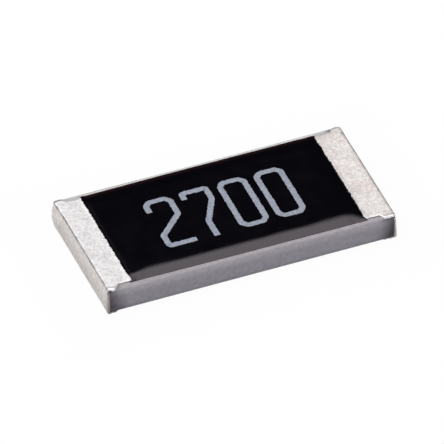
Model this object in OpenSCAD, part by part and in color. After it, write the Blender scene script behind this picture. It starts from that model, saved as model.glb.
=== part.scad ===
// Thick-film chip resistor: a ceramic plate carries a printed resistor between two plated
// end terminations, and a black coat with a printed code covers the resistor.
// Millimetres. +X runs along the chip and +Z up. The origin is under the middle of the chip,
// on the surface that its terminations stand on.

/* [Ceramic plate] */
// Length of the finished chip over its plated ends
chip_length = 6.4; // [5.6:0.05:7.4]
// Width of the ceramic plate
chip_width = 3.1; // [2.6:0.05:3.7]
// Thickness of the ceramic plate
plate_thickness = 0.55; // [0.4:0.01:0.8]
// Height of the snap score along each long edge, above and below
score_height = 0.1; // [0.04:0.01:0.16]
// How far the snap score cuts each long edge back
score_inset = 0.03; // [0.01:0.005:0.06]

/* [Terminations] */
// Plated length on top, from the end of the chip to the coat
top_band = 0.6; // [0.4:0.02:0.9]
// Plated length underneath, from the end of the chip
bottom_band = 0.5; // [0.36:0.02:0.9]
// How far the end electrode wraps onto the top and the bottom, plating included
wrap_length = 0.24; // [0.14:0.01:0.32]
// Bare ceramic between a plated land and the long edge
land_margin = 0.11; // [0.05:0.01:0.3]

/* [Metal layers] */
// Thickness of the printed electrodes
electrode_thickness = 0.014; // [0.008:0.001:0.03]
// Thickness of the end electrode
end_thickness = 0.008; // [0.005:0.001:0.02]
// Thickness of the nickel barrier
nickel_thickness = 0.008; // [0.005:0.001:0.02]
// Thickness of the tin plating
tin_thickness = 0.012; // [0.006:0.001:0.03]

/* [Resistor film and glass] */
// Thickness of the resistor film
film_thickness = 0.012; // [0.008:0.001:0.03]
// How far the film laps onto each top electrode
film_lap = 0.2; // [0.1:0.01:0.4]
// Thickness of the glass over the film
glass_thickness = 0.012; // [0.008:0.001:0.03]
// How far the glass reaches past the film all round
glass_rim = 0.1; // [0.04:0.01:0.2]
// Width of the laser trim cut
trim_width = 0.05; // [0.03:0.005:0.1]
// Depth of the trim cut from the front edge of the film
trim_depth = 0.8; // [0.3:0.05:1.4]
// Length of the trim cut's leg along the chip
trim_leg = 0.7; // [0.2:0.05:1.5]

/* [Black coat] */
// Thickness of the coat over the glass
coat_thickness = 0.02; // [0.01:0.001:0.05]
// Height of the coat's long edge above the electrodes
coat_lip = 0.006; // [0.002:0.001:0.012]
// Bare ceramic between the coat and the long edge
coat_margin = 0.07; // [0.03:0.01:0.2]
// Width of the sloping shoulder along each long edge of the coat
side_shoulder = 0.34; // [0.15:0.01:0.5]
// Width of the sloping shoulder at each end of the coat
end_shoulder = 0.14; // [0.06:0.01:0.3]

/* [Printed code] */
// Height of a digit
digit_height = 1.54; // [0.8:0.02:1.9]
// Width of a digit
digit_width = 0.66; // [0.4:0.02:0.78]
// Distance from one digit to the next
digit_pitch = 0.82; // [0.8:0.01:1.1]
// Width of the printed stroke
stroke_width = 0.125; // [0.06:0.005:0.18]
// Corner cut on the middle line of the stroke
corner_cut = 0.11; // [0.08:0.01:0.16]
// Thickness of the ink
ink_thickness = 0.006; // [0.004:0.001:0.02]

/* [Hidden] */

// The code read from left to right: 270 and no further zeros, in ohms
code = [2, 7, 0, 0];
// Heights of the bends in the digits, as shares of the digit's height
two_start = 0.78;
two_upper_bend = 0.62;
two_lower_bend = 0.24;
seven_start = 0.86;
seven_upper_bend = 0.74;
seven_lower_bend = 0.3;
// Place of the foot of the seven, as a share of the digit's width
seven_foot = 0.4;
// Straight facets on each sloping shoulder of the coat
shoulder_facets = 6;

// Metal on the printed electrodes, and on the ends of the plate
plating = nickel_thickness + tin_thickness;
end_build = end_thickness + plating;

// Ceramic plate between its plated ends, standing on its plated lands
plate_length = chip_length - 2 * end_build;
plate_end = plate_length / 2;
plate_bottom = electrode_thickness + end_build;
plate_top = plate_bottom + plate_thickness;
face_half = chip_width / 2 - score_inset;

// Lands, measured at the outside of the tin
land_half = face_half - land_margin;
coat_end = chip_length / 2 - top_band;
back_land_end = chip_length / 2 - bottom_band;
wrap_start = chip_length / 2 - wrap_length;

// Coat, with the glass under its level top and the film inside the glass
coat_half = face_half - coat_margin;
glass_half = coat_half - side_shoulder;
glass_end = coat_end - end_shoulder;
film_half = glass_half - glass_rim;
film_end = glass_end - glass_rim;
electrode_start = film_end - film_lap;
electrode_top = plate_top + electrode_thickness;
film_top = electrode_top + film_thickness;
glass_top = film_top + glass_thickness;
coat_top = glass_top + coat_thickness;
coat_side_height = electrode_top + coat_lip;
coat_end_height = electrode_top + plating;

function reversed(points) = [for (i = [len(points) - 1 : -1 : 0]) points[i]];
function mirrored(points) = [for (p = reversed(points)) [-p[0], p[1]]];

// Section of the bare plate across the chip, with its scored long edges
function plate_section() =
    let (half = [
        [face_half, plate_bottom],
        [chip_width / 2, plate_bottom + score_height],
        [chip_width / 2, plate_top - score_height],
        [face_half, plate_top]
    ])
    concat(half, mirrored(half));

// Section of a wrapped end, with metal of one build on the top and bottom faces
function wrap_section(build) =
    let (half = [
        [face_half, plate_bottom - build],
        [face_half, plate_bottom],
        [chip_width / 2, plate_bottom + score_height],
        [chip_width / 2, plate_top - score_height],
        [face_half, plate_top],
        [face_half, plate_top + build]
    ])
    concat(half, mirrored(half));

// Outline of the coat from its level top down to the edge, rounding off along the shoulder
function coat_section(edge, shoulder, edge_height) =
    let (half = [
        for (i = [shoulder_facets : -1 : 0])
            let (share = i / shoulder_facets)
            [edge - shoulder * (1 - share), coat_top - (coat_top - edge_height) * pow(share, 2)]
    ])
    concat([[edge, plate_top]], half, mirrored(half), [[-edge, plate_top]]);

// Edge of a stroke beside one corner of its middle line
function direction(from, to) = (to - from) / norm(to - from);
function left_of(v) = [-v[1], v[0]];
function stroke_edge(path, i, reach) =
    let (
        last = len(path) - 1,
        before = left_of(direction(path[max(i, 1) - 1], path[max(i, 1)])),
        after = left_of(direction(path[min(i, last - 1)], path[min(i, last - 1) + 1]))
    )
    path[i] + (before + after) * reach / (1 + before * after);
function stroke_outline(path) =
    let (corners = [0 : len(path) - 1])
    concat(
        [for (i = corners) stroke_edge(path, i, -stroke_width / 2)],
        reversed([for (i = corners) stroke_edge(path, i, stroke_width / 2)])
    );

// Middle line of a two or a seven, in a box with one corner at the origin
function digit_path(digit, w, h) = digit == 2
    ? [
        [0, two_start * h], [0, h - corner_cut], [corner_cut, h], [w - corner_cut, h],
        [w, h - corner_cut], [w, two_upper_bend * h], [0, two_lower_bend * h],
        [0, 0], [w + stroke_width / 2, 0]
    ]
    : [
        [0, seven_start * h], [0, h], [w, h], [w, seven_upper_bend * h],
        [seven_foot * w, seven_lower_bend * h], [seven_foot * w, -stroke_width / 2]
    ];

// Rectangle about the origin with its corners cut off
function cut_box(w, h, cut) =
    let (half = [[w / 2 - cut, -h / 2], [w / 2, cut - h / 2], [w / 2, h / 2 - cut], [w / 2 - cut, h / 2]])
    concat(half, mirrored(half));

module along_x(from, to) {
    translate([from, 0, 0])
        rotate([90, 0, 90])
            linear_extrude(height = to - from)
                children();
}

module along_y(half) {
    translate([0, half, 0])
        rotate([90, 0, 0])
            linear_extrude(height = 2 * half)
                children();
}

// Box from one corner to the other
module block(low, high) {
    translate(low)
        cube(high - low);
}

// Termination pieces are drawn at the right end, and mirrored for the left one
module at_end(side) {
    mirror([side < 0 ? 1 : 0, 0, 0])
        children();
}

module top_print() {
    top_land(electrode_start, 0);
}

module back_print() {
    back_land(0);
}

// Wrapped end out to the end electrode, with more metal plated over it
module wrapped_end(cover) {
    along_x(wrap_start + plating - cover, plate_end + end_thickness + cover)
        polygon(wrap_section(electrode_thickness + end_thickness + cover));
}

// Space that a wrapped end takes up, past both long sides of the chip
module wrapped_space(cover) {
    build = electrode_thickness + end_thickness + cover;
    block(
        [wrap_start + plating - cover, -chip_width, plate_bottom - build],
        [plate_end + end_thickness + cover, chip_width, plate_top + build]
    );
}

// Space of the plate, past both its long sides
module plate_space() {
    block([0, -chip_width, plate_bottom], [plate_end, chip_width, plate_top]);
}

// Land on top, out to the printed electrode, with metal plated over it
module top_land(start, cover) {
    half = land_half - plating + cover;
    block([start, -half, plate_top], [plate_end, half, electrode_top + cover]);
}

// Land underneath, out to the printed electrode, with metal plated over it
module back_land(cover) {
    half = land_half - plating + cover;
    block(
        [back_land_end + plating - cover, -half, plate_bottom - electrode_thickness - cover],
        [plate_end, half, plate_bottom]
    );
}

module film_body() {
    block(
        [-electrode_start, -film_half, plate_top],
        [electrode_start, film_half, plate_top + film_thickness]
    );
    for (side = [-1, 1])
        at_end(side)
            block([electrode_start - film_thickness, -film_half, plate_top], [film_end, film_half, film_top]);
}

// Laser cut in from the front edge of the film, then along the chip
module trim_cut() {
    front = -film_half - glass_rim;
    turn = -film_half + trim_depth;
    start = -trim_leg / 2;
    block([start, front, plate_top], [start + trim_width, turn, glass_top]);
    block([start, turn - trim_width, plate_top], [start + trim_leg, turn, glass_top]);
}

module printed_electrodes() {
    for (side = [-1, 1])
        at_end(side)
            top_print();
}

module ceramic_substrate() {
    color("gainsboro")
        along_x(-plate_end, plate_end)
            polygon(plate_section());
}

module top_electrode(side) {
    color("silver")
        at_end(side)
            top_print();
}

module back_electrode(side) {
    color("silver")
        at_end(side)
            back_print();
}

module resistor_film() {
    color("dimgray")
        difference() {
            film_body();
            printed_electrodes();
            trim_cut();
        }
}

module glass_coat() {
    color("darkseagreen")
        difference() {
            block([-glass_end, -glass_half, plate_top], [glass_end, glass_half, glass_top]);
            film_body();
            printed_electrodes();
            trim_cut();
        }
}

module black_overcoat() {
    color([0.03, 0.03, 0.035])
        difference() {
            intersection() {
                along_x(-plate_end, plate_end)
                    polygon(coat_section(coat_half, side_shoulder, coat_side_height));
                along_y(chip_width / 2)
                    polygon(coat_section(coat_end, end_shoulder, coat_end_height));
            }
            difference() {
                block([-glass_end, -glass_half, plate_top], [glass_end, glass_half, glass_top]);
                trim_cut();
            }
            printed_electrodes();
        }
}

module end_electrode(side) {
    color("darkgray")
        at_end(side)
            difference() {
                wrapped_end(0);
                plate_space();
                top_print();
                back_print();
            }
}

module nickel_barrier(side) {
    color("lightslategray")
        at_end(side)
            difference() {
                union() {
                    wrapped_end(nickel_thickness);
                    top_land(coat_end, nickel_thickness);
                    back_land(nickel_thickness);
                }
                wrapped_space(0);
                plate_space();
                top_print();
                back_print();
            }
}

module tin_plating(side) {
    color("whitesmoke")
        at_end(side)
            difference() {
                union() {
                    wrapped_end(plating);
                    top_land(coat_end, plating);
                    back_land(plating);
                }
                wrapped_space(nickel_thickness);
                plate_space();
                top_land(0, nickel_thickness);
                back_land(nickel_thickness);
            }
}

module marking_digit(place) {
    digit = code[place];
    w = digit_width - stroke_width;
    h = digit_height - stroke_width;
    cut_step = stroke_width * (1 - sqrt(1 / 2));
    color("lightsteelblue")
        translate([(place - (len(code) - 1) / 2) * digit_pitch, 0, coat_top])
            if (digit == 0) {
                difference() {
                    linear_extrude(height = ink_thickness)
                        polygon(cut_box(w + stroke_width, h + stroke_width, corner_cut + cut_step));
                    linear_extrude(height = ink_thickness)
                        polygon(cut_box(w - stroke_width, h - stroke_width, corner_cut - cut_step));
                }
            } else {
                translate([-w / 2, -h / 2, 0])
                    linear_extrude(height = ink_thickness)
                        polygon(stroke_outline(digit_path(digit, w, h)));
            }
}

ceramic_substrate();
top_electrode(-1);  // top_electrode_left
top_electrode(1);  // top_electrode_right
back_electrode(-1);  // back_electrode_left
back_electrode(1);  // back_electrode_right
resistor_film();
glass_coat();
black_overcoat();
end_electrode(-1);  // end_electrode_left
end_electrode(1);  // end_electrode_right
nickel_barrier(-1);  // nickel_barrier_left
nickel_barrier(1);  // nickel_barrier_right
tin_plating(-1);  // tin_plating_left
tin_plating(1);  // tin_plating_right
for (place = [0 : len(code) - 1])
    marking_digit(place);
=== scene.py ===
import math

import bmesh
import bpy
from mathutils import Matrix, Vector, noise


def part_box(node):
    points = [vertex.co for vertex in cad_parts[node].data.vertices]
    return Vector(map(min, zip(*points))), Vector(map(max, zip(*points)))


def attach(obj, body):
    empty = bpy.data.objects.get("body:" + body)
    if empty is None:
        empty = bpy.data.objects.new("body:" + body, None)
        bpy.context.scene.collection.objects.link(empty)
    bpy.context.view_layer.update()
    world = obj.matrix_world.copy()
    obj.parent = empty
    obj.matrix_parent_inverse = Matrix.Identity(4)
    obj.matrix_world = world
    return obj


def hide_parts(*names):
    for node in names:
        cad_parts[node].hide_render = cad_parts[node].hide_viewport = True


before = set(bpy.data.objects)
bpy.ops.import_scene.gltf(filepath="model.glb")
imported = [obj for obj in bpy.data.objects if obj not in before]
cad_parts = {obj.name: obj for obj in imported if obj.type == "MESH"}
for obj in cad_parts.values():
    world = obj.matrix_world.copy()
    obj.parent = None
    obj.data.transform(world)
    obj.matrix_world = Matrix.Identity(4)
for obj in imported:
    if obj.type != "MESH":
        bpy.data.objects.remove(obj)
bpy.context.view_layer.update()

mm = 0.001  # everything below is written in millimetres
scene = bpy.context.scene
scene.view_settings.view_transform = "Standard"


def boxOf(node):
    lo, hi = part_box(node)
    return [c / mm for c in lo], [c / mm for c in hi]


plateLo, plateHi = boxOf("ceramic_substrate")
tinLo, tinHi = boxOf("tin_plating_right")
padLo, padHi = boxOf("top_electrode_right")
glassHi = boxOf("glass_coat")[1]
coatHi = boxOf("black_overcoat")[1]
print("frame read: plate", [round(c, 3) for c in plateHi], "coat top", round(coatHi[2], 3))


def addNode(tree, kind, values=None, **settings):
    node = tree.nodes.new(kind)
    for key, value in settings.items():
        setattr(node, key, value)
    for key, value in (values or {}).items():
        if isinstance(value, bpy.types.NodeSocket):
            tree.links.new(value, node.inputs[key])
        else:
            node.inputs[key].default_value = value
    return node


def outOf(tree, kind, values=None, **settings):
    return addNode(tree, kind, values, **settings).outputs[0]


def calc(tree, operation, a, b=0.0, clamp=False):
    return outOf(tree, "ShaderNodeMath", {0: a, 1: b}, operation=operation, use_clamp=clamp)


def times(tree, first, *more):
    for factor in more:
        first = calc(tree, "MULTIPLY", first, factor)
    return first


def rest(tree, share):
    return calc(tree, "SUBTRACT", 1.0, share)


def remap(tree, value, low, high, outLow=0.0, outHigh=1.0, style="SMOOTHSTEP"):
    values = {0: value, 1: low, 2: high, 3: outLow, 4: outHigh}
    return outOf(tree, "ShaderNodeMapRange", values, interpolation_type=style)


def axes(tree, vector):
    return addNode(tree, "ShaderNodeSeparateXYZ", {0: vector}).outputs


def blendNumbers(tree, factor, a, b):
    return outOf(tree, "ShaderNodeMix", {0: factor, 2: a, 3: b})


def blendColours(tree, factor, a, b, mode="MIX"):
    a, b = [(*c, 1) if isinstance(c, tuple) else c for c in (a, b)]
    values = {0: factor, 6: a, 7: b}
    return addNode(tree, "ShaderNodeMix", values, data_type="RGBA", blend_type=mode).outputs[2]


def shadeBy(tree, tone, factor):
    grey = outOf(tree, "ShaderNodeCombineColor", {0: factor, 1: factor, 2: factor})
    return blendColours(tree, 1.0, tone, grey, "MULTIPLY")


def newFinish(name, **sockets):
    material = bpy.data.materials.new(name)
    material.use_nodes = True
    tree = material.node_tree
    shader = tree.nodes["Principled BSDF"]
    for key, value in sockets.items():
        shader.inputs[key.replace("_", " ")].default_value = value
    coords = addNode(tree, "ShaderNodeTexCoord").outputs["Object"]
    return material, tree, shader, coords


def noiseOn(tree, coords, perMetre, detail, rough, stretch=None):
    if stretch:
        coords = outOf(tree, "ShaderNodeMapping", {"Vector": coords, "Scale": stretch})
    values = {"Vector": coords, "Scale": perMetre, "Detail": detail, "Roughness": rough}
    return outOf(tree, "ShaderNodeTexNoise", values)


def grainOn(tree, coords, grain, levels, style="LINEAR"):
    return remap(tree, noiseOn(tree, coords, *grain), *levels, style=style)


def plug(tree, shader, **sockets):
    for key, value in sockets.items():
        tree.links.new(value, shader.inputs[key.replace("_", " ")])


def roughen(tree, shader, height, strength, depth):
    bump = outOf(tree, "ShaderNodeBump", {"Strength": strength, "Distance": depth, "Height": height})
    plug(tree, shader, Normal=bump)


def fieldsOf(tree, coords):
    # where a point lies in mm, which way it faces and which end it is nearer
    scaled = outOf(tree, "ShaderNodeVectorMath", {0: coords, "Scale": 1 / mm}, operation="SCALE")
    at = dict(zip("xyz", axes(tree, scaled)))
    normal = addNode(tree, "ShaderNodeNewGeometry").outputs["Normal"]
    for name, value in zip(("onEnd", "onFlank", "onTop"), axes(tree, normal)):
        at[name] = calc(tree, "ABSOLUTE", value)
    at["along"] = calc(tree, "ABSOLUTE", at["x"])
    at["across"] = calc(tree, "ABSOLUTE", at["y"])
    at["right"] = remap(tree, at["x"], -1.0, 1.0)
    return at


def maskOf(tree, at, products):
    # the largest of some products; a part is a number, a field, "not" a field or a field's ramp
    best = None
    for parts in products:
        total = None
        for part in parts:
            value = part
            if isinstance(part, str):
                word, _, name = part.rpartition(" ")
                value = rest(tree, at[name]) if word == "not" else at[name]
            elif isinstance(part, tuple):
                value = remap(tree, at[part[0]], *part[1:])
            total = value if total is None else times(tree, total, value)
        best = total if best is None else calc(tree, "MAXIMUM", best, total)
    return best


def layOver(tree, tone, at, rows):
    # a row is its name, its colour and the products of its mask; a row with no colour serves later rows; the
    # rows paint real stains and also painted shade and highlights
    for name, colour, *products in rows:
        at[name] = maskOf(tree, at, products)
        if colour:
            tone = blendColours(tree, at[name], tone, colour)
    return tone


def meshPiece(name, verts, faces, sharpDegrees, material, node, marks=None):
    mesh = bpy.data.meshes.new(name)
    mesh.from_pydata([(x * mm, y * mm, z * mm) for x, y, z in verts], [], faces)
    for label, values in (marks or {}).items():
        mesh.attributes.new(label, "FLOAT", "POINT").data.foreach_set("value", values)
    piece = bpy.data.objects.new(name, mesh)
    scene.collection.objects.link(piece)
    finishPiece(piece, sharpDegrees, material, node)


def finishPiece(piece, sharpDegrees, material, node):
    mesh = piece.data
    work = bmesh.new()
    work.from_mesh(mesh)
    bmesh.ops.remove_doubles(work, verts=work.verts, dist=1e-9)
    bmesh.ops.recalc_face_normals(work, faces=work.faces)
    openEdges = sum(1 for e in work.edges if not e.is_manifold)
    if work.calc_volume(signed=True) < 0:
        bmesh.ops.reverse_faces(work, faces=work.faces)
    work.to_mesh(mesh)
    work.free()
    mesh.shade_smooth()
    mesh.set_sharp_from_angle(angle=math.radians(sharpDegrees))
    mesh.materials.clear()
    mesh.materials.append(material)
    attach(piece, "root")
    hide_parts(node)
    print("piece", piece.name, len(mesh.polygons), "faces, open edges", openEdges)


def gridQuads(rows, wide, closed=False):
    quads = []
    for row in range(0, (rows - 1) * wide, wide):
        for i in range(wide if closed else wide - 1):
            j = (i + 1) % wide
            quads.append((row + i, row + j, row + wide + j, row + wide + i))
    return quads


def wave(seed, *place):
    return noise.noise(Vector((*place, 0.0, 0.0)[:3]) + Vector((seed * 17.3, seed * 5.1, seed * 9.7)))


def smooth(t):
    t = min(max(t, 0.0), 1.0)
    return t * t * (3 - 2 * t)


def ease(value, start, length):
    return smooth((value - start) / length)


# camera at the photograph's angle, the image taken as 444 x 444
cameraSetup = {"azimuth": -22.077, "elevation": 40.973, "distance": 350.0, "pixelsPerMm": 48.45,
               "centre": (224.415, 230.86), "image": 444, "sensor": 36.0, "clip": (10.0, 2000.0)}


def placeCamera(s):
    a = math.radians(s["azimuth"])
    e = math.radians(s["elevation"])
    right = Vector((math.cos(a), math.sin(a), 0))
    back = Vector((math.sin(a) * math.cos(e), -math.cos(a) * math.cos(e), math.sin(e)))
    up = back.cross(right)
    half = s["image"] / 2
    target = right * (half - s["centre"][0]) + up * (s["centre"][1] - half)
    target /= s["pixelsPerMm"]
    data = bpy.data.cameras.new("photoCamera")
    data.sensor_width = s["sensor"]
    data.lens = s["pixelsPerMm"] * s["distance"] * s["sensor"] / s["image"]
    data.clip_start, data.clip_end = [c * mm for c in s["clip"]]
    camera = bpy.data.objects.new("photoCamera", data)
    turn = Matrix((right, up, back)).transposed().to_4x4()
    camera.matrix_world = Matrix.Translation((target + back * s["distance"]) * mm) @ turn
    scene.collection.objects.link(camera)
    scene.camera = camera


placeCamera(cameraSetup)

# a small soft fill on the left; the wide panel overhead is part of the world below
fillSetup = {"place": (-80.0, -15.0, 62.0), "size": 60.0, "radiance": 1.1}


def hangFill(s):
    data = bpy.data.lights.new("sideFill", "AREA")
    data.shape = "SQUARE"
    data.size = s["size"] * mm
    data.energy = s["radiance"] * math.pi * (s["size"] * mm) ** 2
    lamp = bpy.data.objects.new("sideFill", data)
    place = Vector(s["place"]) * mm
    lamp.matrix_world = Matrix.Translation(place) @ place.to_track_quat("Z", "Y").to_matrix().to_4x4()
    lamp.visible_camera = False
    scene.collection.objects.link(lamp)


hangFill(fillSetup)

# panel edges are slopes from overhead; the back edge stops short of the coat's mirror line
studio = {"ambient": 0.015, "tentFront": (0.8, 0.8), "tentBack": (0.14, 0.45), "tentTurn": (-0.4, 0.4),
          "panel": 2.42, "panelX": (-1.8, 0.53), "panelY": (-0.5, 0.8), "panelSoft": 0.24,
          "leastRise": 0.02, "port": (0.99, 0.972), "floorColour": (0.66, 0.66, 0.66, 1), "floorRough": 0.9,
          "floorSize": 400.0, "shadowReach": 2.2, "whiteNear": 0.97}


def seenBy(tree):
    rays = addNode(tree, "ShaderNodeLightPath").outputs
    seen = calc(tree, "MAXIMUM", rays["Is Camera Ray"], rays["Is Glossy Ray"])
    return rays["Is Camera Ray"], calc(tree, "MAXIMUM", seen, rays["Is Transmission Ray"])


def buildWorld(s):
    world = bpy.data.worlds.new("studioWorld")
    scene.world = world
    world.use_nodes = True
    tree = world.node_tree
    plain = tree.nodes["Background"]
    plain.inputs["Color"].default_value = (1, 1, 1, 1)
    cameraRay, shownRay = seenBy(tree)
    x, y, rise = axes(tree, addNode(tree, "ShaderNodeTexCoord").outputs["Generated"])
    above = calc(tree, "MAXIMUM", rise, s["leastRise"])
    panel = s["panel"]
    soft = s["panelSoft"]
    for way, (low, high) in ((x, s["panelX"]), (y, s["panelY"])):
        slope = calc(tree, "DIVIDE", way, above)
        panel = times(tree, panel, remap(tree, slope, low - soft, low + soft),
                      remap(tree, slope, high + soft, high - soft))
    panel = times(tree, panel, remap(tree, rise, *s["port"]))  # opening straight above
    tents = [remap(tree, rise, 0.0, end, white, 0.0) for white, end in (s["tentFront"], s["tentBack"])]
    tent = blendNumbers(tree, remap(tree, y, *s["tentTurn"]), *tents)
    mirrored = times(tree, tent, shownRay)  # the white surround as metal sees it
    lit = calc(tree, "ADD", panel, calc(tree, "MAXIMUM", mirrored, s["ambient"]))
    plug(tree, plain, Strength=calc(tree, "MAXIMUM", lit, cameraRay))


def buildFloor(s):
    sockets = {"Roughness": s["floorRough"], "Base_Color": s["floorColour"]}
    material, tree, shader, coords = newFinish("paleFloor", **sockets)
    shownRay = seenBy(tree)[1]
    outside = [calc(tree, "SUBTRACT", calc(tree, "ABSOLUTE", c), edge * mm)
               for c, edge in zip(axes(tree, coords)[:2], tinHi)]
    white = remap(tree, calc(tree, "MAXIMUM", *outside), 0.0, s["shadowReach"] * mm, s["whiteNear"], 1.0)
    glow = outOf(tree, "ShaderNodeEmission", {"Strength": 1.0})
    share = times(tree, white, shownRay)
    mix = outOf(tree, "ShaderNodeMixShader", {0: share, 1: shader.outputs[0], 2: glow})
    plug(tree, tree.nodes["Material Output"], Surface=mix)
    h = s["floorSize"] * mm
    mesh = bpy.data.meshes.new("paleFloor")
    mesh.from_pydata([(-h, -h, 0), (h, -h, 0), (h, h, 0), (-h, h, 0)], [], [(0, 1, 2, 3)])
    mesh.materials.append(material)
    floor = bpy.data.objects.new("paleFloor", mesh)
    scene.collection.objects.link(floor)


buildWorld(studio)
buildFloor(studio)
print("camera, panel and floor placed")

# in the finishes a grain is noise per metre, detail and roughness, followed by its levels;
# levels and ramps are from, to, value at the first and at the second, 0 and 1 where none are given
tin = {
    "mottle": ((5200.0, 5.0, 0.68), (0.35, 0.65)),
    "speck": ((26000.0, 3.0, 0.75), (0.32, 0.68, 0.87, 1.13)),
    "grain": ((15000.0, 3.0, 0.7), (0.3, 0.7, 0.79, 1.21)),
    "streak": ((1000.0, 3.0, 0.65, (1.0, 42.0, 2.2)), (0.35, 0.65, 0.9, 1.1)),
    # the worn noise breaks up the painted shade lines along the top edges
    "worn": ((9000.0, 3.0, 0.6), (0.32, 0.66, 0.5, 1.0)),
    "patches": ((2300.0, 2.0, 0.5), (0.4, 0.6)),
    "patchy": ((8000.0, 2.0, 0.5), (0.62, 0.5, 0.5, 0.95)),
    "tones": {"white": ((0.885, 0.848, 0.856), (1.0, 0.975, 0.98)),
              "warm": ((0.84, 0.74, 0.715), (0.955, 0.895, 0.88)),
              "cool": ((0.835, 0.78, 0.768), (0.945, 0.912, 0.9)),
              # the end tones are painted shade: the end faces darker than the top
              "endLow": ((0.56, 0.524, 0.505), (0.617, 0.58, 0.561)),
              "endHigh": ((0.716, 0.67, 0.65), (0.772, 0.73, 0.706))},
    # painted light on the end faces: paler higher up and toward the back
    "palerUp": (0.12, 0.52), "palerBack": (1.0, 1.4, 0.0, 0.4), "endFace": (0.6, 0.95),
    "cells": 36000.0, "rough": (0.0, 0.9, 0.42, 0.6), "metal": (0.0, 1.0, 0.46, 0.95), "bump": (0.6, 2.5e-6),
    "overlays": (
        # painted shade lines along the top of the ends and behind the lands, broken by the worn noise
        ("rim", None, ["onEnd", "onTop"]),
        ("edgeLine", (0.0, 0.0, 0.0), [("rim", 0.33, 0.46, 0.0, 0.7), "worn"]),
        # painted shade along the right end's outer top edge, with a darker spot behind it and a faint
        # darkening toward the back
        ("rubbed", None,
         [("along", 3.115, 3.15, 0.0, 0.42), ("along", 3.175, 3.16), "worn"],
         [("y", 1.16, 1.23), ("y", 1.29, 1.36, 0.4, 0.0), ("along", 3.07, 3.13)],
         [("y", 1.22, 1.36, 0.0, 0.12)]),
        ("rubbedTop", (0.16, 0.155, 0.15), ["rubbed", "right", ("onTop", 0.5, 0.8)]),
        # painted shade along the back border of the lands
        ("outline", (0.14, 0.135, 0.13),
         [("backRim", 0.09, 0.03), ("onTop", 0.2, 0.5), ("right", 0.0, 1.0, 0.95, 0.48),
          ("along", 2.92, 3.02, 0.45, 1.0)]),
        ("onWrap", None, ["not right", ("along", 2.895, 2.995)], ["right", ("along", 2.865, 2.965)]),
        # painted shade in the groove behind the front lip where the wraps begin
        ("valley", (0.3, 0.28, 0.27),
         [("frontRim", 0.025, 0.05), ("frontRim", 0.065, 0.12, 0.45, 0.0), "onWrap", ("onTop", 0.2, 0.5)]),
        # painted shade on the left end's front corner: brown-dark on its end face and on its front flank
        ("low", None, [("z", 0.58, 0.5)]),
        ("browned", (0.17, 0.125, 0.125),
         [("y", -1.55, -1.43, 0.75, 0.0), "onEnd", "low", "not right", "patchy"]),
        # the front flank of the left end painted dark as shade, darker low down and darkest at its inner
        # border
        ("strip", (0.27, 0.22, 0.22),
         [("onFlank", 0.25, 0.6), "not right", "patchy", ("z", 0.595, 0.555)]),
        ("sooty", (0.06, 0.045, 0.045), ["strip", ("z", 0.44, 0.55)]),
        ("stripEdge", (0.05, 0.035, 0.035), ["strip", ("along", 3.155, 3.168, 0.9, 0.0)]),
        # painted shade: the right end's side flanks greyer low down
        ("dulled", (0.42, 0.405, 0.4), ["onFlank", "low", "right", 0.7]),
        # the white lip along the front, a painted highlight, thin in two places on the left where its step is
        # painted grey as shade
        ("thin", None,
         [("along", 2.86, 2.9), ("along", 2.98, 3.03, 0.7, 0.0), "not right"],
         [("along", 3.15, 3.175), "not right"]),
        ("highFlank", None, ["onFlank", "not low"]),
        ("lip", None, [("highFlank", 0.12, 0.4), ("frontRim", 0.2, 0.05), "not thin"]),
        ("thinEdge", (0.38, 0.36, 0.355), ["thin", ("frontRim", 0.02, 0.07, 0.7, 0.0), ("z", 0.585, 0.6)]),
        # painted highlight: the lip and the top just inside the front border near white
        ("bright", (0.98, 0.965, 0.96),
         ["lip"], [("frontRim", 0.02, 0.045, 0.8, 0.0), ("onTop", 0.2, 0.5), "not thin"]),
        # painted shade on the lower part of the lip's flank, away from the wraps
        ("foot", (0.16, 0.145, 0.145),
         [("z", 0.606, 0.618, 0.8, 0.0), ("onFlank", 0.4, 0.7), "lip", "not onWrap"]),
        ("bareLip", None, ["lip", "not foot"]),
    ),
}


def tinFinish(s):
    material, tree, shader, coords = newFinish("matteTin")
    at = fieldsOf(tree, coords)
    for label in ("frontRim", "backRim"):  # mm from the skin's borders
        at[label] = addNode(tree, "ShaderNodeAttribute", attribute_name=label).outputs["Fac"]
    for label in ("mottle", "speck", "grain", "streak", "worn"):
        at[label] = grainOn(tree, coords, *s[label])
    for label in ("patches", "patchy"):
        at[label] = grainOn(tree, coords, *s[label], style="SMOOTHSTEP")
    tones = {label: blendColours(tree, at["mottle"], *pair) for label, pair in s["tones"].items()}
    warm = blendColours(tree, at["patches"], tones["warm"], tones["cool"])
    tone = blendColours(tree, at["right"], tones["white"], warm)
    # painted shade and light on the end faces: darker than the top, paler higher up and toward the back
    higher = remap(tree, at["z"], *s["palerUp"])
    paler = calc(tree, "ADD", higher, remap(tree, at["y"], *s["palerBack"]), clamp=True)
    endTone = blendColours(tree, paler, tones["endLow"], tones["endHigh"])
    tone = blendColours(tree, remap(tree, at["onEnd"], *s["endFace"]), tone, endTone)
    streak = blendNumbers(tree, at["onEnd"], 1.0, at["streak"])
    tone = shadeBy(tree, tone, times(tree, at["speck"], at["grain"], streak))
    # the overlays here are painted shade lines and a painted lip highlight
    tone = layOver(tree, tone, at, s["overlays"])
    cells = outOf(tree, "ShaderNodeTexVoronoi", {"Vector": coords, "Scale": s["cells"]})
    plug(tree, shader, Base_Color=tone, Metallic=remap(tree, at["bareLip"], *s["metal"]),
         Roughness=remap(tree, cells, *s["rough"]))
    roughen(tree, shader, cells, *s["bump"])
    return material


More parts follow.
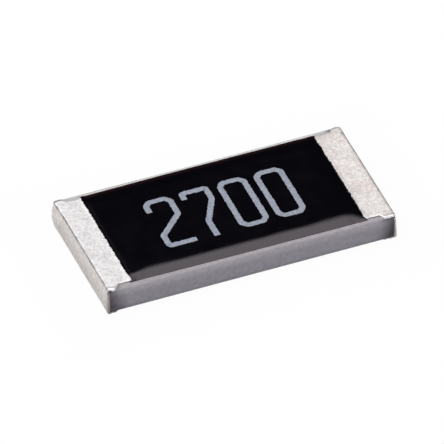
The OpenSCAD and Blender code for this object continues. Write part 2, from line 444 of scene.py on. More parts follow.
ceramic = {
    "rough": 0.62, "fine": (16000.0, 4.0, 0.6), "soft": (1400.0, 2.0, 0.5), "levels": (0.3, 0.7),
    # the side's tones are greyer than fired alumina, painted shade for a side lit less than the top
    "tones": ((0.437, 0.414, 0.484), (0.535, 0.51, 0.583)),
    # the upper side painted paler: partly the lighter scored band, partly painted light from above
    "upper": (("paler", (0.676, 0.63, 0.697), [("z", 0.36, 0.6), "onFlank"]),),
    # the ceramic facing up takes its own darker tones, painted shade; paler on the back strip and darker
    # along the back edge
    "ledgeTones": ((0.36, 0.33, 0.357), (0.455, 0.42, 0.455)), "ledgeFacing": (0.4, 0.9),
    "ledge": (
        ("backStrip", (0.66, 0.65, 0.65), [("y", 1.3, 1.45)]),
        ("backEdge", (0.25, 0.245, 0.25), [("y", 1.5, 1.525, 0.0, 0.5)]),
        # painted shade along the foot of the lands, darkest near the front ends
        ("landFoot", None,
         [("y", 1.2, 1.3), ("y", 1.44, 1.53, 1.0, 0.2)],
         [("y", -1.415, -1.385, 0.0, 0.9), ("y", 1.0, 0.0)]),
        ("besideLand", (0.47, 0.465, 0.46), ["landFoot", ("along", 2.54, 2.64, 0.0, 0.85)]),
        ("frontEnd", (0.16, 0.155, 0.175), [("along", 2.82, 3.0, 0.0, 0.5), ("y", -1.3, -1.4)]),
        # painted shadow growing darker toward the nook where the right land's back border meets its wrap
        ("nook", (0.12, 0.115, 0.115), [("x", 2.78, 2.98, 0.0, 0.85), ("y", 1.34, 1.42)]),
    ),
    "drift": ((2600.0, 3.0, 0.6), (0.0, 1.0, -0.15, 0.15)), "lean": (0.1, 0.55, 0.05, -0.07),
    # dark residue near the ends, and painted shade under the left cap's front corner
    "dirtAndShade": (
        ("smudge", None, [("toEnd", 2.68, 3.16), "onFlank", ("z", 0.12, 0.5, 1.0, 0.88)]),
        ("smudgeLeft", (0.085, 0.073, 0.098), ["smudge", "not right"]),
        ("smudgeRight", (0.043, 0.034, 0.038), ["smudge", "right"]),
        ("smear", (0.06, 0.045, 0.055), [("x", 2.82, 2.95), ("z", 0.5, 0.57, 0.0, 0.3), "onFlank"]),
        # painted shade under the left cap's front corner
        ("soot", (0.02, 0.016, 0.017),
         [("x", -3.08, -3.14), ("y", -1.44, -1.5), ("z", 0.55, 0.585, 0.0, 0.9)]),
    ),
    "mottle": (((9000.0, 3.0, 0.6), (0.3, 0.7, 0.91, 1.09)), ((28000.0, 2.0, 0.6), (0.3, 0.7, 0.92, 1.08))),
    "tear": (5000.0, 4.0, 0.6, (1.0, 1.0, 0.35)), "bump": (0.35, 4e-6),
}


def ceramicFinish(s):
    material, tree, shader, coords = newFinish("firedAlumina", Roughness=s["rough"])
    at = fieldsOf(tree, coords)
    fine = noiseOn(tree, coords, *s["fine"])
    cloud = blendNumbers(tree, 0.5, fine, noiseOn(tree, coords, *s["soft"]))
    tone = blendColours(tree, remap(tree, cloud, *s["levels"], style="LINEAR"), *s["tones"])
    tone = layOver(tree, tone, at, s["upper"])
    # painted shade: the ceramic facing up gets the darker ledge tones
    ledge = blendColours(tree, fine, *s["ledgeTones"])
    ledge = layOver(tree, ledge, at, s["ledge"])
    tone = blendColours(tree, remap(tree, at["onTop"], *s["ledgeFacing"]), tone, ledge)
    drift = calc(tree, "ADD", grainOn(tree, coords, *s["drift"]), remap(tree, at["z"], *s["lean"], "LINEAR"))
    at["toEnd"] = calc(tree, "ADD", at["along"], drift)
    tone = layOver(tree, tone, at, s["dirtAndShade"])
    tone = shadeBy(tree, tone, times(tree, *[grainOn(tree, coords, *grain) for grain in s["mottle"]]))
    plug(tree, shader, Base_Color=tone)
    roughen(tree, shader, noiseOn(tree, coords, *s["tear"]), *s["bump"])
    return material


# the weave is the mesh of the print screen, levelled out
resin = {
    "index": 1.5, "tint": (1.0, 0.9, 0.98, 1), "cloud": (2600.0, 3.0, 0.5), "rough": (0.3, 0.7, 0.075, 0.105),
    "tones": ((0.0012, 0.001, 0.0025), (0.002, 0.0017, 0.0033)),
    "overlays": (
        ("thinEdge", (0.013, 0.0035, 0.0045), [("across", 1.31, 1.42)]),  # brown where the resin runs thin
        ("dull", None, [("x", -2.53, -2.6, 0.0, 0.4), ("y", -1.18, -1.28)]),
    ),
    "weave": (15000.0, 3.0, 0.6), "bump": (0.6, 1.2e-6),
}


def coatFinish(s):
    material, tree, shader, coords = newFinish("blackResin", IOR=s["index"], Specular_Tint=s["tint"])
    at = fieldsOf(tree, coords)
    cloud = noiseOn(tree, coords, *s["cloud"])
    tone = layOver(tree, blendColours(tree, cloud, *s["tones"]), at, s["overlays"])
    rough = calc(tree, "ADD", remap(tree, cloud, *s["rough"]), at["dull"])
    plug(tree, shader, Base_Color=tone, Roughness=rough)
    roughen(tree, shader, noiseOn(tree, coords, *s["weave"]), *s["bump"])
    return material


plainBump = (0.3, 1.5e-6)  # strength and depth in metres, for the ink and the hidden layers


def plainFinish(name, dark, light, metallic, rough, grain, levels=None):
    material, tree, shader, coords = newFinish(name, Metallic=metallic, Roughness=rough)
    cloud = noiseOn(tree, coords, *grain)
    if levels:
        cloud = remap(tree, cloud, *levels)
    plug(tree, shader, Base_Color=blendColours(tree, cloud, dark, light))
    roughen(tree, shader, cloud, *plainBump)
    return material


ink = {"dark": (0.27, 0.3, 0.365), "light": (0.39, 0.42, 0.5), "metallic": 0.0, "rough": 0.5,
       "grain": (14000.0, 3.0, 0.6), "levels": (0.3, 0.7)}
# name, dark and light tone, metallic, roughness, grain per metre
plainLayers = {
    "top_electrode": ("firedSilver", (0.66, 0.64, 0.6), (0.82, 0.8, 0.76), 0.9, 0.45, 20000.0),
    "back_electrode": ("firedSilverBack", (0.62, 0.6, 0.57), (0.8, 0.78, 0.74), 0.9, 0.5, 20000.0),
    "resistor_film": ("oxideFilm", (0.03, 0.03, 0.032), (0.07, 0.068, 0.07), 0.0, 0.6, 16000.0),
    "glass_coat": ("glazeSkin", (0.07, 0.1, 0.075), (0.11, 0.15, 0.115), 0.0, 0.12, 6000.0),
    "end_electrode": ("sputteredEnd", (0.3, 0.29, 0.28), (0.42, 0.41, 0.4), 0.8, 0.5, 24000.0),
    "nickel_barrier": ("dullNickel", (0.46, 0.44, 0.4), (0.6, 0.58, 0.53), 1.0, 0.4, 26000.0),
}
matteTin = tinFinish(tin)
firedAlumina = ceramicFinish(ceramic)
blackResin = coatFinish(resin)
greyInk = plainFinish("greyInk", **ink)
innerLayers = {layer: plainFinish(*values, (perMetre, 3.0, 0.6))
               for layer, (*values, perMetre) in plainLayers.items()}
for nodeName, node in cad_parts.items():
    for layer, finish in innerLayers.items():
        if nodeName.startswith(layer):
            node.data.materials.clear()
            node.data.materials.append(finish)
print("finishes ready")

# how the left end and the right end differ: the edges of each plated land, the wrap round its sides,
# and the upright corner at the back
endTraits = {
    "side": (-1, 1), "word": ("left", "right"), "seed": (21, 34), "innerEdge": (2.63, 2.576),
    "landFront": (1.377, 1.388), "landBack": (1.442, 1.423),
    "landTaper": (0.005, 0.035), "backTaper": (0.005, -0.012), "spread": (0.0, 0.022),
    "frontRound": (0.0, 0.02), "frontLobe": (0.026, 0.008), "backLobe": (0.0, 0.012),
    "wrapFront": (2.945, 2.915), "wrapBack": (2.98, 2.97), "wrapSoft": (0.09, 0.045),
    "sideWrap": (0.016, 0.017), "topFront": (1.512, 1.527), "topBack": (1.535, 1.523), "worn": (0.026, 0.0),
    "footInset": (0.004, 0.02), "footFlare": (0.006, 0.022), "cornerFoot": (0.004, 0.008),
    "backFlare": (0.045, 0.004), "backRound": (0.095, 0.1)}
ends = [{key: pair[i] for key, pair in endTraits.items()} for i in (0, 1)]


def roundBack(traits, x, y):
    # rounds the upright corner at the back, seen from above
    dx = x - (tinHi[0] + traits["backFlare"] - traits["backRound"])
    dy = y - (plateHi[1] - traits["backRound"])
    if min(dx, dy) <= 0:
        return x, y
    pull = max(dx, dy) / math.hypot(dx, dy) - 1
    return x + dx * pull, y + dy * pull


# the plate: scored edges above and below a snapped side, swept end to end
plate = {"rows": 220, "endRows": 10, "endStep": 0.014, "scoreHeight": 0.1, "bevelSteps": 3, "sideSteps": 12,
         "topInset": 0.015, "footInset": 0.027, "backWear": 0.013, "wearFrom": (-2.2, 2.0), "seed": 3,
         "tear": 0.008, "tearFrom": 0.06, "deepest": 1.3, "coarse": (3.1, 2.0, 0.5), "fine": (14, 6, 0.3),
         "sharp": 12}


def tearAt(s, x, z, sign):
    # how far the snapped side is torn in, none at its upper and lower edge
    pull = 0.5
    for step, key in enumerate(("coarse", "fine")):
        pitchX, pitchZ, share = s[key]
        pull += share * wave(s["seed"] + step, x * pitchX, z * pitchZ, sign)
    edge = min(z - plateLo[2], plateHi[2] - z)
    return s["tear"] * smooth(edge / s["tearFrom"]) * min(max(pull, 0.0), s["deepest"])


def buildPlate(s):
    bottom, top = plateLo[2], plateHi[2]
    score = s["scoreHeight"]
    bevel = [i / s["bevelSteps"] for i in range(s["bevelSteps"] + 1)]
    flat = [i / s["sideSteps"] for i in range(s["sideSteps"] + 1)]
    # rows of height, share of the top inset and share of the foot inset
    section = [(bottom + score * t, 0.0, 1 - t) for t in bevel[:-1]]
    section += [(bottom + score + (top - bottom - 2 * score) * t, 0.0, 0.0) for t in flat]
    section += [(top - score * (1 - t), t, 0.0) for t in bevel[1:]]
    ring = [(1, *row) for row in section] + [(-1, *row) for row in reversed(section)]
    close = [plateHi[0] - s["endStep"] * i for i in range(s["endRows"])]
    inside = plateHi[0] - s["endStep"] * s["endRows"]
    middle = [inside * (2 * i / s["rows"] - 1) for i in range(s["rows"] + 1)]
    stations = [-x for x in close] + middle + close[::-1]
    verts = []
    for x in stations:
        for sign, z, topShare, footShare in ring:
            topInset = s["topInset"] + (s["backWear"] * ease(x, *s["wearFrom"]) if sign > 0 else 0.0)
            inset = topInset * topShare + s["footInset"] * footShare + tearAt(s, x, z, sign)
            px, py = roundBack(ends[0 if x < 0 else 1], abs(x), sign * (plateHi[1] - inset))
            verts.append((math.copysign(px, x), py, z))
    count = len(ring)
    faces = gridQuads(len(stations), count, True)
    last = (len(stations) - 1) * count
    for i in range(len(section) - 1):
        faces.append((i, i + 1, count - 2 - i, count - 1 - i))
        faces.append((last + i, last + count - 1 - i, last + count - 2 - i, last + i + 1))
    meshPiece("ceramicPlate", verts, faces, s["sharp"], firedAlumina, "ceramic_substrate")


buildPlate(plate)

# the silver pads under the plated lands, printed a little inside them
pad = {"inset": 0.016, "bevel": 0.006, "sharp": 30}


def buildPad(s, traits):
    yFront = -min(traits["landFront"] - s["inset"], padHi[1])
    yBack = min(traits["landBack"] - s["inset"], padHi[1])
    verts = []
    for z, b in ((padLo[2], 0.0), (padHi[2] - s["bevel"], 0.0), (padHi[2], s["bevel"])):
        xIn, xOut = padLo[0] + b, padHi[0]
        corners = ((xIn, yFront + b), (xOut, yFront + b), (xOut, yBack - b), (xIn, yBack - b))
        verts += [(traits["side"] * x, y, z) for x, y in corners]
    faces = [(3, 2, 1, 0), (8, 9, 10, 11)] + gridQuads(3, 4, True)
    meshPiece("silverPad" + traits["word"].title(), verts, faces, s["sharp"], innerLayers["top_electrode"],
              "top_electrode_" + traits["word"])


for traits in ends:
    buildPad(pad, traits)

# the plated ends: three skins nested over the end of the plate, rounded at every border;
# pairs of numbers are where a change starts and its length, waves are seed step, pitch and depth
cap = {"underLand": 1.42, "underStart": 0.1, "landRise": 0.034, "riseFrom": (2.75, 0.3),
       "corner": 0.02, "cornerSteps": 5, "cornerTop": -0.003, "edgeRound": 0.034, "wrapRound": 0.055,
       "wrapSoft": 0.05, "wrapWave": 0.015, "rowStep": 0.016, "columnStep": 0.022, "turnSteps": 8,
       "startSteps": (0.0, 0.003, 0.008, 0.015, 0.024, 0.034), "tipWear": (3.06, 0.1), "topFall": 0.08,
       "taperReach": 0.34, "spreadFrom": (0.05, 0.08), "calmEnd": (-0.08, 0.05), "calmInner": 0.12,
       "ragged": 0.016, "raggedWaves": ((0, 16, 1.0), (1, 45, 0.5)),
       "jag": 0.026, "teeth": ((7, 11.0, 0.4), (9, 3.0, 0.3), (8, 29.0, 0.8)), "toothReach": 0.2,
       "lobeFrom": (1.12, 0.14), "lobeEnd": (1.34, 0.1), "lobeBack": 1.8, "roundFrom": (1.33, 0.1),
       "bead": 0.008, "beadReach": 0.08, "lumps": ((11, 16, 0.002), (13, 3.2, 0.0025)),
       "flareAlong": (2.9, 0.25), "flareBack": (0.9, 0.6), "flareUp": 0.25, "flareHigh": (0.38, 0.2),
       "flareLoss": 0.65, "footReach": 0.5, "innerSquare": 6.0, "innerReach": 0.9, "innerTuck": 0.4,
       "sharp": 50}
hiddenSkin = {"skin": 0.007, "wall": 0.0004, "tuck": 0.0003, "square": 6.0, "coarse": 2}
capLayers = (
    {"name": "tinCap", "node": "tin_plating", "slot": "tin", "depth": 0.0, "edge": -0.002, "start": 0.0,
     "skin": 0.012, "wall": 0.002, "tuck": 0.0025, "square": 2.2, "coarse": 1},
    {"name": "nickelCap", "node": "nickel_barrier", "slot": "nickel", "depth": 0.0125, "edge": 0.0008,
     "start": 0.05, **hiddenSkin},
    {"name": "endCap", "node": "end_electrode", "slot": "end_metal", "depth": 0.02, "edge": 0.0016,
     "start": 0.2, **hiddenSkin},
)


def roundOff(t, power=2.2):
    t = min(max(t, 0.0), 1.0)
    return (1 - (1 - t) ** power) ** (1 / power)


def endPath(s, under, innerEdge, rowStep):
    # walks under the plate, up its end and back along the top: (x, z, normal x, normal z, tag)
    xEnd = plateHi[0]
    bottom, top = plateLo[2], plateHi[2]
    r = s["corner"]
    starts = s["startSteps"]
    points = []

    def run(ax, az, bx, bz, nx, nz, tag):
        steps = int(math.hypot(bx - ax, bz - az) / rowStep)
        for i in range(1, steps):
            t = i / steps
            points.append((ax + (bx - ax) * t, az + (bz - az) * t, nx, nz, tag))

    def turn(cx, cz, fromAngle):
        for i in range(s["cornerSteps"] + 1):
            angle = math.radians(fromAngle + 90 * i / s["cornerSteps"])
            nx, nz = math.cos(angle), math.sin(angle)
            points.append((cx + r * nx, cz + r * nz, nx, nz, "corner"))

    points += [(under + d, bottom, 0, -1, "bottom") for d in starts]
    run(under + starts[-1], bottom, xEnd - r, bottom, 0, -1, "bottom")
    turn(xEnd - r, bottom + r, -90)
    run(xEnd, bottom + r, xEnd, top - r, 1, 0, "end")
    turn(xEnd - r, top - r, 0)
    run(xEnd - r, top, innerEdge + starts[-1], top, 0, 1, "top")
    points += [(innerEdge + d, top, 0, 1, "top") for d in reversed(starts)]
    return points


def skinHalf(s, traits, x, z, tag, hand):
    # half width of the skins at one place along the path, front (-1) or back (1)
    seed = traits["seed"] + 3 * hand
    front = hand < 0
    word = "Front" if front else "Back"
    topInset = plateHi[1] - traits["top" + word]
    if front:
        topInset += traits["worn"] * ease(x, *s["tipWear"])
    fromTop = min((plateHi[2] - z) / (s["topFall"] + topInset), 1.0)
    fromFoot = min((z - plateLo[2]) / plate["scoreHeight"], 1.0)
    face = plateHi[1] - topInset * (1 - fromTop) - traits["footInset"] * (1 - fromFoot)
    if tag in ("end", "corner"):
        return face
    land = traits["land" + word] if tag == "top" else s["underLand"]
    land += traits["landTaper" if front else "backTaper"] * ease(x, tinLo[0], s["taperReach"])
    calm = 1 - ease(x - plateHi[0], *s["calmEnd"])
    if tag == "top":
        calm *= ease(x, traits["innerEdge"], s["calmInner"])
        if front:
            land += traits["spread"] * (1 - ease(x - traits["innerEdge"], *s["spreadFrom"]))
    start = traits["wrap" + word] + s["wrapWave"] * wave(seed, 1.7, z)
    soft = traits["wrapSoft"] if front else s["wrapSoft"]
    wide = land + (face - land) * ease(x, start - soft, 2 * soft)
    ragged = sum(share * wave(seed + step, x * pitch, z * pitch) for step, pitch, share in s["raggedWaves"])
    return wide + calm * s["ragged"] * ragged


def turnCurve(t, reach, rise, outset, foot, square):
    # quarter turn from the foot beside the border to the flat of the skin: (height, sideways)
    angle = math.radians(90 * t)
    up = math.sin(angle) ** (2 / square)
    side = math.cos(angle) ** (2 / square)
    return -reach + (reach + rise) * up, -foot + (foot + outset) * side


def toothAt(s, traits, x, y, innerEdge):
    # the visible skin's ragged border on the coat, with a lobe towards each side
    seed = traits["seed"]
    tooth = s["jag"] * sum(share * wave(seed + step, y * pitch) for step, pitch, share in s["teeth"])
    for lobe, out in ((traits["frontLobe"], -y), (traits["backLobe"], y)):
        tooth -= lobe * (ease(out, *s["lobeFrom"]) - s["lobeBack"] * ease(out, *s["lobeEnd"]))
    tooth += traits["frontRound"] * ease(-y, *s["roundFrom"])
    return tooth * smooth(1 - (x - innerEdge) / s["toothReach"])


def flareAt(s, traits, x, y, z):
    # how far the end stands out towards its back corner and its foot
    flare = traits["backFlare"] * ease(y, *s["flareBack"]) * smooth(z / s["flareUp"])
    flare *= 1 - s["flareLoss"] * ease(z, *s["flareHigh"])
    flare += traits["footFlare"] * smooth(1 - z / s["footReach"])
    return flare * ease(x, *s["flareAlong"])


def lumpAt(s, seed, *place):
    return sum(depth * wave(seed + step, *[c * pitch for c in place]) for step, pitch, depth in s["lumps"])


def skinFaces(rows, wide):
    # the outer sheet, the inner sheet turned round, and a strip that joins their borders
    offset = rows * wide
    faces = gridQuads(rows, wide)
    faces += [tuple(offset + v for v in reversed(quad)) for quad in faces]
    border = list(range(wide))
    border += [r * wide + wide - 1 for r in range(1, rows)]
    border += [(rows - 1) * wide + c for c in range(wide - 2, -1, -1)]
    border += [r * wide for r in range(rows - 2, 0, -1)]
    for a, b in zip(border, border[1:] + border[:1]):
        faces.append((a, offset + a, offset + b, b))
    return faces


def buildSkin(s, traits, layer, finish):
    side, word = traits["side"], traits["word"]
    endRise = tinHi[0] - plateHi[0]
    under = tinLo[0] + s["underStart"] + layer["start"]
    inner0 = traits["innerEdge"] + layer["start"]
    path = endPath(s, under, inner0, s["rowStep"] * layer["coarse"])
    skin = layer["skin"]
    bare = layer["depth"] == 0.0  # the outermost skin, the one that is seen
    turns = s["turnSteps"]  # columns that carry the skin round a border
    columns = 2 * turns + int(2 * s["underLand"] / (s["columnStep"] * layer["coarse"]))
    outer = []
    inner = []
    marks = {"frontRim": [], "backRim": []}
    for x, z, nx, nz, tag in path:
        onEnd = nx * nx
        rise = s["landRise"] + (tinHi[2] - plateHi[2] - s["landRise"]) * ease(x, *s["riseFrom"])
        rise += (endRise - rise) * onEnd
        corner = s["cornerTop"] if nz > 0 else traits["cornerFoot"]
        rise += corner * onEnd * (1 - onEnd) * 4  # most at 45 degrees
        rise -= layer["depth"]
        riseIn = rise - skin
        xIn = x
        if tag == "bottom":
            gap = x - under
            rise *= roundOff(gap / s["edgeRound"])
            firstRows = s["startSteps"][-1]
            if gap < firstRows:
                gapIn = skin + gap * (firstRows - skin) / firstRows
                xIn = under + gapIn
                riseIn *= roundOff((gapIn - skin) / (s["edgeRound"] - skin))
        if tag == "top":
            if bare:
                rise += s["bead"] * smooth(1 - (x - inner0) / s["beadReach"])
            rise -= skin * (1 - roundOff((x - inner0) / skin))
        reach = traits["sideWrap"] * onEnd if bare else 0.0
        outset = -layer["edge"] - layer["depth"] * (1 - onEnd)
        outsetIn = outset - layer["wall"] - skin * (1 - onEnd)
        halves = {hand: skinHalf(s, traits, x, z, tag, hand) for hand in (-1, 1)}
        flats = {}
        for hand, key in ((-1, "wrapFront"), (1, "wrapBack")):
            over = ease(x, traits[key] - s["wrapSoft"], 2 * s["wrapSoft"]) * (1 - onEnd) if nz > 0 else 0.0
            flats[hand] = s["edgeRound"] + (s["wrapRound"] - s["edgeRound"]) * over
        for column in range(columns + 1):
            hand = -1 if column <= columns / 2 else 1
            fromEdge = column if hand < 0 else columns - column
            if fromEdge <= turns:
                t = max(fromEdge - 1, 0) / (turns - 1)
                h, b = turnCurve(t, reach, rise, outset, flats[hand], layer["square"])
                reachIn = reach * s["innerReach"]
                hIn, bIn = turnCurve(t, reachIn, riseIn, outsetIn, flats[hand], s["innerSquare"])
                if fromEdge == 0:
                    b -= layer["tuck"]
                    bIn -= s["innerTuck"] * layer["tuck"]
                y = hand * (halves[hand] + b)
                yIn = hand * (halves[hand] + bIn)
                inside = max(fromEdge - 3, 0) / turns
            else:
                t = (column - turns) / (columns - 2 * turns)
                lowY = flats[-1] - halves[-1]
                y = yIn = lowY + (halves[1] - flats[1] - lowY) * t
                h, hIn = rise, riseIn
                inside = 1.0
            marks["frontRim"].append(y + halves[-1])
            marks["backRim"].append(halves[1] - y)
            tooth = flare = 0.0
            if bare:
                if tag == "top":
                    tooth = toothAt(s, traits, x, y, inner0)
                h += lumpAt(s, traits["seed"], x + tooth, y, z) * inside * min(rise / s["landRise"], 1.0)
                flare = flareAt(s, traits, x, y, z)
            px, py = roundBack(traits, x + tooth + nx * h + flare, y)
            outer.append((side * px, py, max(z + nz * h, 0.0)))
            px, py = roundBack(traits, xIn + tooth + nx * hIn, yIn)
            inner.append((side * px, py, z + nz * hIn))
    marks = {label: values * 2 for label, values in marks.items()} if bare else None
    faces = skinFaces(len(path), columns + 1)
    meshPiece(layer["name"] + word.title(), outer + inner, faces, s["sharp"], finish,
              layer["node"] + "_" + word, marks)


for traits in ends:
    for layer in capLayers:
        buildSkin(cap, traits, layer, innerLayers.get(layer["node"], matteTin))


def newTree(name, sockets):
    tree = bpy.data.node_groups.new(name, "GeometryNodeTree")
    tree.interface.new_socket("Geometry", in_out="INPUT", socket_type="NodeSocketGeometry")
    for label, kind in sockets:
        tree.interface.new_socket(label, in_out="INPUT", socket_type="NodeSocket" + kind)
    tree.interface.new_socket("Geometry", in_out="OUTPUT", socket_type="NodeSocketGeometry")
    return tree, addNode(tree, "NodeGroupInput").outputs, addNode(tree, "NodeGroupOutput")


def closeTree(tree, geometry, given, result):
    real = outOf(tree, "GeometryNodeRealizeInstances", {0: geometry})
    done = outOf(tree, "GeometryNodeSetMaterial", {"Geometry": real, "Material": given["Finish"]})
    tree.links.new(done, result.inputs[0])
    return tree


def growMesh(name, base, tree, inputs):
    # runs the tree on the base mesh and keeps the result as a plain mesh
    piece = bpy.data.objects.new(name, base)
    scene.collection.objects.link(piece)
    modifier = piece.modifiers.new(name, "NODES")
    modifier.node_group = tree
    for item in tree.interface.items_tree:
        if item.in_out == "INPUT" and item.name in inputs:
            modifier[item.identifier] = inputs[item.name]
    graph = bpy.context.evaluated_depsgraph_get()
    mesh = bpy.data.meshes.new_from_object(piece.evaluated_get(graph), depsgraph=graph)
    piece.modifiers.remove(modifier)
    piece.data = mesh
    mesh.name = name
    return piece


# the overcoat: one printed skin with a flat top that falls away to its long edges; the lengths go to the
# tree under their names, and pairs are where along the coat a change starts and ends
coat = {"lengths": {
            "End Drop": 0.04, "Side Shoulder": 0.33, "Left Shoulder": 0.12, "Right Shoulder": 0.5,
            "Corner Fade": 0.34, "Edge Wave": 0.012, "End Shift": -0.028, "Side Shift": 0.02, "Bow": 0.004,
            "Swell": 0.026, "Ripple": 0.012, "Narrow": 0.1, "Least": 0.004, "Step": 0.02},
        "columns": 190, "rows": 120, "endTuck": 0.034, "edgeLip": 0.01, "edgeInset": 0.007, "skew": -0.004,
        "seed": 5.0, "halves": (-1.0, 1.0), "swellIn": (1.4, 2.0), "swellOut": (2.15, 2.4), "swellLow": -0.3,
        "swellEnd": 0.4, "rippleAt": 0.33, "ripplePitch": 0.93, "rippleIn": (-0.2, 0.3),
        "rippleOut": (1.8, 1.5), "narrowTo": (-2.62, -2.15), "leftFade": 0.5, "fadeEnd": 0.4,
        "waveScale": 9000.0, "nearEnd": (0.3, 0.06), "nearSide": (0.3, 0.03), "bowAlong": (-2.6, -0.6),
        "bowLeft": -2.5, "weld": 2e-5, "sharp": 30}


def coatTree(s):
    sockets = [(label, "Float") for label in (
        *s["lengths"], "Length", "Width", "Top", "Edge Drop", "Skew", "Base", "Pad Top", "Pad Half",
        "Glass Top", "Glass Length", "Glass Width", "Seed")]
    sockets += [("Columns", "Int"), ("Rows", "Int"), ("Finish", "Material")]
    tree, given, result = newTree("printedSkin", sockets)
    base, step, glassX, glassY = [given[label] for label in ("Base", "Step", "Glass Length", "Glass Width")]

    def ramp(place, key, low=0.0, high=1.0):
        return remap(tree, place, s[key][0] * mm, s[key][1] * mm, low, high)

    def add(a, b):
        return calc(tree, "ADD", a, b)

    def less(a, b):
        return calc(tree, "SUBTRACT", a, b)

    def fall(distance, shoulder):
        left = rest(tree, calc(tree, "DIVIDE", distance, shoulder, clamp=True))
        return calc(tree, "POWER", left, 2.0)

    def within(place, edge):
        return remap(tree, place, edge, add(edge, step), 1.0, 0.0, "LINEAR")

    def join3(a, b, c):
        return outOf(tree, "ShaderNodeCombineXYZ", {0: a, 1: b, 2: c})

    def moved(geometry, place, **more):
        values = {"Geometry": geometry, "Position": place, **more}
        return outOf(tree, "GeometryNodeSetPosition", values)

    grid = addNode(tree, "GeometryNodeMeshGrid", {
        "Size X": given["Length"], "Size Y": given["Width"],
        "Vertices X": given["Columns"], "Vertices Y": given["Rows"]}).outputs["Mesh"]
    x, y, _ = axes(tree, outOf(tree, "GeometryNodeInputPosition"))
    acrossX = calc(tree, "ABSOLUTE", x)
    acrossY = calc(tree, "ABSOLUTE", y)
    sign = calc(tree, "SIGN", y)
    fromEnd = less(times(tree, given["Length"], 0.5), acrossX)
    fromSide = less(times(tree, given["Width"], 0.5), acrossY)

    # the top: a shoulder along each side that wanders a little, and a different one at each end
    swell = ramp(acrossX, "swellIn", times(tree, given["Swell"], s["swellLow"]), given["Swell"])
    swell = times(tree, swell, ramp(acrossX, "swellOut", 1.0, s["swellEnd"]))
    phase = times(tree, less(x, s["rippleAt"] * mm), 2 * math.pi / (s["ripplePitch"] * mm))
    waves = times(tree, calc(tree, "COSINE", phase), given["Ripple"],
                  ramp(x, "rippleIn"), ramp(x, "rippleOut"))
    narrow = ramp(x, "narrowTo", given["Narrow"], 0.0)
    sideShoulder = less(add(given["Side Shoulder"], swell), add(waves, narrow))
    endShoulder = ramp(x, "halves", given["Left Shoulder"], given["Right Shoulder"])
    fadeReach = ramp(x, "halves", times(tree, given["Corner Fade"], s["leftFade"]), given["Corner Fade"])
    sideSquare = fall(fromSide, sideShoulder)
    fade = remap(tree, fromEnd, 0.0, fadeReach, s["fadeEnd"], 1.0)
    sideFall = times(tree, sideSquare, given["Edge Drop"], fade)
    endFall = times(tree, fall(fromEnd, endShoulder), given["End Drop"])
    topZ = less(less(given["Top"], endFall), sideFall)

    # the underside follows the glass and the pads
    onPad = remap(tree, acrossX, less(glassX, step), glassX, 0.0, 1.0, "LINEAR")
    glassRise = times(tree, within(acrossX, glassX), within(acrossY, glassY), less(given["Glass Top"], base))
    padRise = times(tree, onPad, within(acrossY, given["Pad Half"]), less(given["Pad Top"], base))
    baseZ = add(base, calc(tree, "MAXIMUM", glassRise, padRise))
    topZ = calc(tree, "MAXIMUM", topZ, add(baseZ, given["Least"]))

    # the outline: uneven long edges, and a print that sits a little off the middle
    ripple = outOf(tree, "ShaderNodeTexNoise", {
        "Vector": join3(x, sign, given["Seed"]), "Scale": s["waveScale"], "Detail": 2.0})
    ripple = times(tree, less(ripple, 0.5), given["Edge Wave"], sideSquare, sign)
    bow = ramp(x, "bowAlong", times(tree, given["Bow"], s["bowLeft"]), given["Bow"])
    turned = add(add(given["Side Shift"], times(tree, given["Skew"], x)), times(tree, bow, sign))
    outX = add(x, times(tree, given["End Shift"], ramp(fromEnd, "nearEnd")))
    outY = add(add(y, ripple), times(tree, turned, ramp(fromSide, "nearSide")))

    # both surfaces are stored on the grid first, then the rim is walled
    keep = grid
    stored = []
    fields = (("skinPlace", join3(outX, outY, topZ), "FLOAT_VECTOR"), ("skinBase", baseZ, "FLOAT"))
    for label, field, kind in fields:
        keep = outOf(tree, "GeometryNodeStoreNamedAttribute", {
            "Geometry": keep, "Name": label, "Value": field}, data_type=kind, domain="POINT")
        stored.append(outOf(tree, "GeometryNodeInputNamedAttribute", {"Name": label}, data_type=kind))
    place, floorZ = stored
    sx, sy, sz = axes(tree, place)
    low = join3(sx, sy, floorZ)
    under = outOf(tree, "GeometryNodeFlipFaces", {0: moved(keep, low)})
    neighbours = outOf(tree, "GeometryNodeInputMeshEdgeNeighbors")
    rim = outOf(tree, "FunctionNodeCompare", {2: neighbours, 3: 1}, data_type="INT", operation="EQUAL")
    walls = addNode(tree, "GeometryNodeExtrudeMesh", {
        "Mesh": moved(keep, place), "Selection": rim, "Offset": join3(0.0, 0.0, less(floorZ, sz)),
        "Offset Scale": 1.0}, mode="EDGES").outputs
    join = addNode(tree, "GeometryNodeJoinGeometry")
    for sheet in (under, moved(walls["Mesh"], low, Selection=walls["Top"])):
        tree.links.new(sheet, join.inputs[0])
    merged = outOf(tree, "GeometryNodeMergeByDistance", {
        "Geometry": join.outputs[0], "Distance": s["weld"] * mm})
    return closeTree(tree, merged, given, result)


def buildCoat(s):
    edgeTop = plateHi[2] + s["edgeLip"]
    lengths = {
        **s["lengths"], "Length": 2 * (coatHi[0] + s["endTuck"]), "Width": 2 * (coatHi[1] - s["edgeInset"]),
        "Top": coatHi[2], "Edge Drop": coatHi[2] - edgeTop, "Base": plateHi[2], "Pad Top": padHi[2],
        "Pad Half": padHi[1], "Glass Top": glassHi[2], "Glass Length": glassHi[0], "Glass Width": glassHi[1]}
    inputs = {label: length * mm for label, length in lengths.items()}
    inputs.update({"Skew": s["skew"], "Seed": s["seed"], "Columns": s["columns"], "Rows": s["rows"],
                   "Finish": blackResin})
    piece = growMesh("blackOvercoat", bpy.data.meshes.new("blackOvercoat"), coatTree(s), inputs)
    finishPiece(piece, s["sharp"], blackResin, "black_overcoat")


buildCoat(coat)

# the printed digits: strokes that follow a middle line, with rounded turns and uneven edges
digits = {"code": (2, 7, 0, 0), "stroke": 0.125, "cut": 0.1, "turn": 0.045, "turnPoints": 6, "step": 0.012,
          "uneven": 0.05, "unevenScale": 21000.0, "seed": 2.0, "sharp": 40}


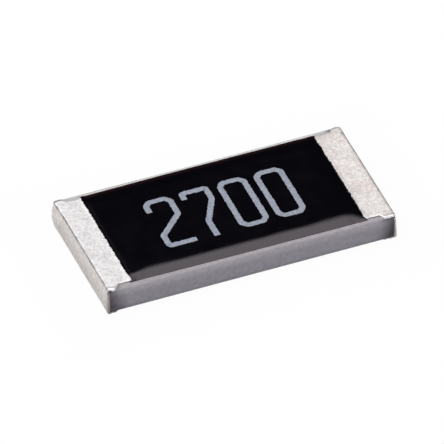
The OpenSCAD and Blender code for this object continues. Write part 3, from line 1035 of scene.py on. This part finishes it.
def digitPath(number, w, h, s):
    c = s["cut"]
    b = s["stroke"]
    if number == 2:
        arch = [(0, 0.78 * h), (0, h - c), (c, h), (w - c, h), (w, h - c), (w, 0.62 * h)]
        return arch + [(0, 0.24 * h), (0, 0), (w + b / 2, 0)], False
    if number == 7:
        return [(0, 0.86 * h), (0, h), (w, h), (w, 0.74 * h), (0.4 * w, 0.3 * h), (0.4 * w, -b / 2)], False
    return [(0, c), (0, h - c), (c, h), (w - c, h), (w, h - c), (w, c), (w - c, 0), (c, 0)], True


def strokeTree(s):
    sockets = [(label, "Float") for label in ("Stroke", "Ink", "Turn", "Step", "Uneven", "Seed")]
    tree, given, result = newTree("printedStroke", sockets + [("Finish", "Material")])

    def vector(operation, a, b):
        return outOf(tree, "ShaderNodeVectorMath", {0: a, 1: b}, operation=operation)

    line = outOf(tree, "GeometryNodeMeshToCurve", {"Mesh": given["Geometry"]})
    turned = outOf(tree, "GeometryNodeFilletCurve", {
        "Curve": line, "Radius": given["Turn"], "Limit Radius": True, "Count": s["turnPoints"]}, mode="POLY")
    even = outOf(tree, "GeometryNodeResampleCurve", {"Curve": turned, "Length": given["Step"]}, mode="LENGTH")
    upright = outOf(tree, "GeometryNodeSetCurveNormal", {"Curve": even}, mode="Z_UP")
    topWidth = calc(tree, "SUBTRACT", given["Stroke"], times(tree, given["Ink"], 2.0))
    profile = outOf(tree, "GeometryNodeCurvePrimitiveQuadrilateral", {
        "Height": given["Ink"], "Bottom Width": given["Stroke"], "Top Width": topWidth, "Offset": 0.0},
        mode="TRAPEZOID")
    ribbon = outOf(tree, "GeometryNodeCurveToMesh", {
        "Curve": upright, "Profile Curve": profile, "Fill Caps": True})
    flat = vector("MULTIPLY", outOf(tree, "GeometryNodeInputPosition"), (1.0, 1.0, 0.0))
    spot = vector("ADD", flat, outOf(tree, "ShaderNodeCombineXYZ", {2: given["Seed"]}))
    values = {"Vector": spot, "Scale": s["unevenScale"], "Detail": 2.0}
    shake = addNode(tree, "ShaderNodeTexNoise", values).outputs["Color"]
    reach = outOf(tree, "ShaderNodeCombineXYZ", {0: given["Uneven"], 1: given["Uneven"]})
    shake = vector("MULTIPLY", vector("SUBTRACT", shake, (0.5, 0.5, 0.5)), reach)
    ragged = outOf(tree, "GeometryNodeSetPosition", {"Geometry": ribbon, "Offset": shake})
    return closeTree(tree, ragged, given, result)


def buildDigits(s):
    tree = strokeTree(s)
    half = s["stroke"] / 2
    for spot, number in enumerate(s["code"]):
        node = f"marking_digit_{spot + 1}"
        lo, hi = boxOf(node)
        ink = hi[2] - lo[2]
        points, closed = digitPath(number, hi[0] - lo[0] - s["stroke"], hi[1] - lo[1] - s["stroke"], s)
        places = [(px + lo[0] + half, py + lo[1] + half, lo[2] + ink / 2) for px, py in points]
        edges = [(i, i + 1) for i in range(len(points) - 1)]
        if closed:
            edges.append((len(points) - 1, 0))
        base = bpy.data.meshes.new(f"digitLine{spot + 1}")
        base.from_pydata([[c * mm for c in place] for place in places], edges, [])
        inputs = {"Stroke": s["stroke"] * mm, "Ink": ink * mm, "Turn": s["turn"] * mm, "Step": s["step"] * mm,
                  "Uneven": s["uneven"] * mm, "Seed": s["seed"] + spot, "Finish": greyInk}
        piece = growMesh(f"printedDigit{spot + 1}", base, tree, inputs)
        finishPiece(piece, s["sharp"], greyInk, node)


buildDigits(digits)

bpy.context.view_layer.update()
